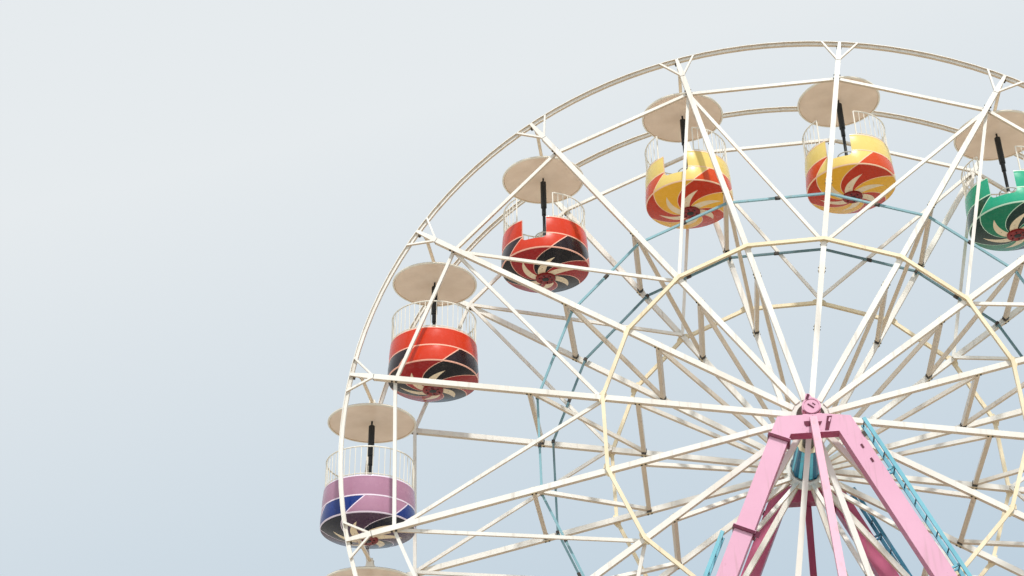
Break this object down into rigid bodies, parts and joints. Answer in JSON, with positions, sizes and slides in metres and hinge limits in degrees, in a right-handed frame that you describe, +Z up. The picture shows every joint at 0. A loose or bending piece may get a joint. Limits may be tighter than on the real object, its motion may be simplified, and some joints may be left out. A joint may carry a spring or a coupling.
{
  "type": "ferris wheel with round hanging tub cabins",
  "caption": "Fairground ferris wheel: an open steel double wheel with round roofed tub cabins that hang level, on two pink A-shaped towers.",
  "frame": {"origin": "on the ground, under the middle of the wheel's axle", "axes": "+Z up, Y along the wheel's axle with -Y towards the front, +X to the right seen from the front"},
  "size_m": [18.1403, 16.8246, 22.6331],
  "materials": {
    "white_paint": "gloss paint on steel bars, a little chalky",
    "cream_paint": "older cream gloss paint",
    "drive_blue": "blue paint, darker where it is worn",
    "drum_blue": "blue paint with light stripes",
    "pink_paint": "pink gloss paint",
    "ladder_blue": "light blue paint",
    "base_grey": "grey paint, scuffed",
    "tub_yellow": "glossy painted fibreglass, yellow with orange-red",
    "tub_green": "glossy painted fibreglass, turquoise with dark green",
    "tub_mauve": "glossy painted fibreglass, mauve with dark blue",
    "tub_red": "glossy painted fibreglass, red with maroon",
    "roof_tan": "matt fibreglass roof, pale above and tan below",
    "black_paint": "black paint on the pole",
    "tub_inside": "off-white inside the tub"
  },
  "bodies": {
    "towers": {"front_bearing": "pink_paint", "front_left_ladder": "ladder_blue", "front_left_leg": "pink_paint", "front_right_ladder": "ladder_blue", "front_right_leg": "pink_paint", "front_sill": "base_grey", "front_strut": "pink_paint", "front_tower_head": "pink_paint", "rear_bearing": "pink_paint", "rear_left_leg": "pink_paint", "rear_right_ladder": "ladder_blue", "rear_right_leg": "pink_paint", "rear_sill": "base_grey", "rear_strut": "pink_paint", "rear_tower_head": "pink_paint", "tie_beam": "base_grey"},
    "wheel": {"front_spokes": "white_paint", "front_bracing": "white_paint", "front_middle_ring": "cream_paint", "front_rim": "white_paint", "front_drive_ring": "drive_blue", "rear_spokes": "white_paint", "rear_bracing": "white_paint", "rear_middle_ring": "cream_paint", "rear_rim": "white_paint", "rear_drive_ring": "drive_blue", "cross_truss": "white_paint", "axle": "drum_blue"},
    "cabin_01": {"cabin_01_tub": "tub_yellow", "cabin_01_canopy": "roof_tan"},
    "cabin_02": {"cabin_02_tub": "tub_green", "cabin_02_canopy": "roof_tan"},
    "cabin_03": {"cabin_03_tub": "tub_green", "cabin_03_canopy": "roof_tan"},
    "cabin_04": {"cabin_04_tub": "tub_mauve", "cabin_04_canopy": "roof_tan"},
    "cabin_05": {"cabin_05_tub": "tub_mauve", "cabin_05_canopy": "roof_tan"},
    "cabin_06": {"cabin_06_tub": "tub_red", "cabin_06_canopy": "roof_tan"},
    "cabin_07": {"cabin_07_tub": "tub_red", "cabin_07_canopy": "roof_tan"},
    "cabin_08": {"cabin_08_tub": "tub_yellow", "cabin_08_canopy": "roof_tan"},
    "cabin_09": {"cabin_09_tub": "tub_yellow", "cabin_09_canopy": "roof_tan"},
    "cabin_10": {"cabin_10_tub": "tub_green", "cabin_10_canopy": "roof_tan"},
    "cabin_11": {"cabin_11_tub": "tub_green", "cabin_11_canopy": "roof_tan"},
    "cabin_12": {"cabin_12_tub": "tub_mauve", "cabin_12_canopy": "roof_tan"},
    "cabin_13": {"cabin_13_tub": "tub_mauve", "cabin_13_canopy": "roof_tan"},
    "cabin_14": {"cabin_14_tub": "tub_red", "cabin_14_canopy": "roof_tan"},
    "cabin_15": {"cabin_15_tub": "tub_red", "cabin_15_canopy": "roof_tan"},
    "cabin_16": {"cabin_16_tub": "tub_yellow", "cabin_16_canopy": "roof_tan"}
  },
  "joints": [
    {"name": "wheel_turn", "type": "hinge", "parent": "towers", "child": "wheel", "pos_m": [0, 0, 14.1], "axis": [0, 1, 0], "continuous": true},
    {"name": "cabin_01_swing", "type": "hinge", "parent": "wheel", "child": "cabin_01", "pos_m": [1.45068, 0, 22.28544], "axis": [0, 1, 0], "continuous": true},
    {"name": "cabin_02_swing", "type": "hinge", "parent": "wheel", "child": "cabin_02", "pos_m": [4.47269, 0, 21.10721], "axis": [0, 1, 0], "continuous": true},
    {"name": "cabin_03_swing", "type": "hinge", "parent": "wheel", "child": "cabin_03", "pos_m": [6.81377, 0, 18.8622], "axis": [0, 1, 0], "continuous": true},
    {"name": "cabin_04_swing", "type": "hinge", "parent": "wheel", "child": "cabin_04", "pos_m": [8.11752, 0, 15.89218], "axis": [0, 1, 0], "continuous": true},
    {"name": "cabin_05_swing", "type": "hinge", "parent": "wheel", "child": "cabin_05", "pos_m": [8.18544, 0, 12.64932], "axis": [0, 1, 0], "continuous": true},
    {"name": "cabin_06_swing", "type": "hinge", "parent": "wheel", "child": "cabin_06", "pos_m": [7.00721, 0, 9.62731], "axis": [0, 1, 0], "continuous": true},
    {"name": "cabin_07_swing", "type": "hinge", "parent": "wheel", "child": "cabin_07", "pos_m": [4.7622, 0, 7.28623], "axis": [0, 1, 0], "continuous": true},
    {"name": "cabin_08_swing", "type": "hinge", "parent": "wheel", "child": "cabin_08", "pos_m": [1.79218, 0, 5.98248], "axis": [0, 1, 0], "continuous": true},
    {"name": "cabin_09_swing", "type": "hinge", "parent": "wheel", "child": "cabin_09", "pos_m": [-1.45068, 0, 5.91456], "axis": [0, 1, 0], "continuous": true},
    {"name": "cabin_10_swing", "type": "hinge", "parent": "wheel", "child": "cabin_10", "pos_m": [-4.47269, 0, 7.09279], "axis": [0, 1, 0], "continuous": true},
    {"name": "cabin_11_swing", "type": "hinge", "parent": "wheel", "child": "cabin_11", "pos_m": [-6.81377, 0, 9.3378], "axis": [0, 1, 0], "continuous": true},
    {"name": "cabin_12_swing", "type": "hinge", "parent": "wheel", "child": "cabin_12", "pos_m": [-8.11752, 0, 12.30782], "axis": [0, 1, 0], "continuous": true},
    {"name": "cabin_13_swing", "type": "hinge", "parent": "wheel", "child": "cabin_13", "pos_m": [-8.18544, 0, 15.55068], "axis": [0, 1, 0], "continuous": true},
    {"name": "cabin_14_swing", "type": "hinge", "parent": "wheel", "child": "cabin_14", "pos_m": [-7.00721, 0, 18.57269], "axis": [0, 1, 0], "continuous": true},
    {"name": "cabin_15_swing", "type": "hinge", "parent": "wheel", "child": "cabin_15", "pos_m": [-4.7622, 0, 20.91377], "axis": [0, 1, 0], "continuous": true},
    {"name": "cabin_16_swing", "type": "hinge", "parent": "wheel", "child": "cabin_16", "pos_m": [-1.79218, 0, 22.21752], "axis": [0, 1, 0], "continuous": true}
  ],
  "couplings": [
    {"joint": "cabin_01_swing", "follows": "wheel_turn", "ratio": -1},
    {"joint": "cabin_02_swing", "follows": "wheel_turn", "ratio": -1},
    {"joint": "cabin_03_swing", "follows": "wheel_turn", "ratio": -1},
    {"joint": "cabin_04_swing", "follows": "wheel_turn", "ratio": -1},
    {"joint": "cabin_05_swing", "follows": "wheel_turn", "ratio": -1},
    {"joint": "cabin_06_swing", "follows": "wheel_turn", "ratio": -1},
    {"joint": "cabin_07_swing", "follows": "wheel_turn", "ratio": -1},
    {"joint": "cabin_08_swing", "follows": "wheel_turn", "ratio": -1},
    {"joint": "cabin_09_swing", "follows": "wheel_turn", "ratio": -1},
    {"joint": "cabin_10_swing", "follows": "wheel_turn", "ratio": -1},
    {"joint": "cabin_11_swing", "follows": "wheel_turn", "ratio": -1},
    {"joint": "cabin_12_swing", "follows": "wheel_turn", "ratio": -1},
    {"joint": "cabin_13_swing", "follows": "wheel_turn", "ratio": -1},
    {"joint": "cabin_14_swing", "follows": "wheel_turn", "ratio": -1},
    {"joint": "cabin_15_swing", "follows": "wheel_turn", "ratio": -1},
    {"joint": "cabin_16_swing", "follows": "wheel_turn", "ratio": -1}
  ]
}
